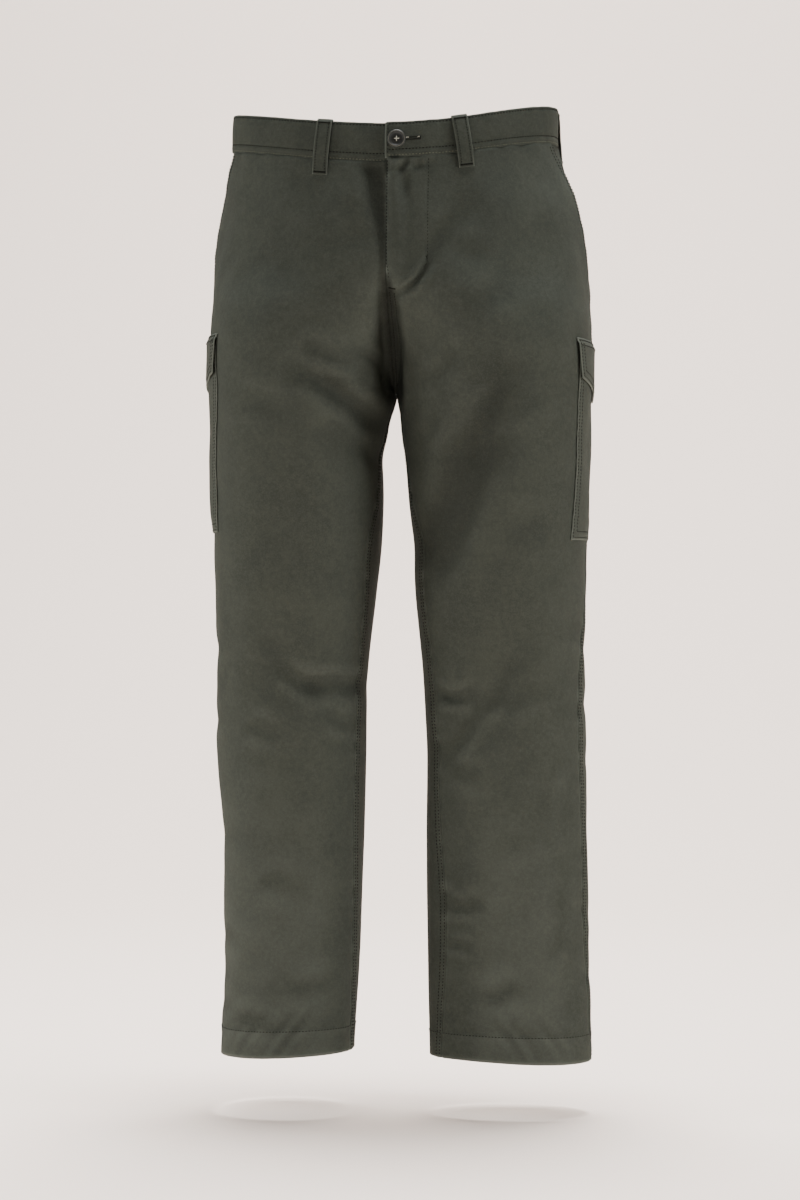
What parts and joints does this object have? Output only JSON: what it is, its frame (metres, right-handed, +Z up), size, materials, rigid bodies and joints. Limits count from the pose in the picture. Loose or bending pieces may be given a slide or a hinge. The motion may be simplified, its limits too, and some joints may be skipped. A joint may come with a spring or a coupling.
{
  "type": "cargo trousers",
  "caption": "Straight-leg cotton twill cargo trousers, filled out as worn, with a buttoned waistband, belt loops and flapped thigh pockets.",
  "frame": {"origin": "Centre of the waist opening, half way up the waistband at the side seams", "axes": "+Z up, along the body out of the waist; the front faces -Y; +X is the wearer's left"},
  "size_m": [0.4271, 0.2727, 1.0442],
  "materials": {
    "twill": "dark olive cotton twill, matt",
    "twill_band": "doubled dark olive cotton twill, matt",
    "button": "dark moulded button, soft gloss"
  },
  "bodies": {
    "root": {"front_left": "twill", "front_right": "twill", "back_left": "twill", "back_right": "twill", "hip_facing_left": "twill", "hip_facing_right": "twill", "fly_underlap": "twill", "waistband_left": "twill_band", "waistband_right": "twill_band", "belt_loop_front_left": "twill_band", "belt_loop_front_right": "twill_band", "belt_loop_side_left": "twill_band", "belt_loop_side_right": "twill_band", "belt_loop_back": "twill_band", "cargo_bag_left": "twill", "cargo_bag_right": "twill", "cargo_flap_left": "twill", "cargo_flap_right": "twill", "button": "button"}
  },
  "joints": []
}
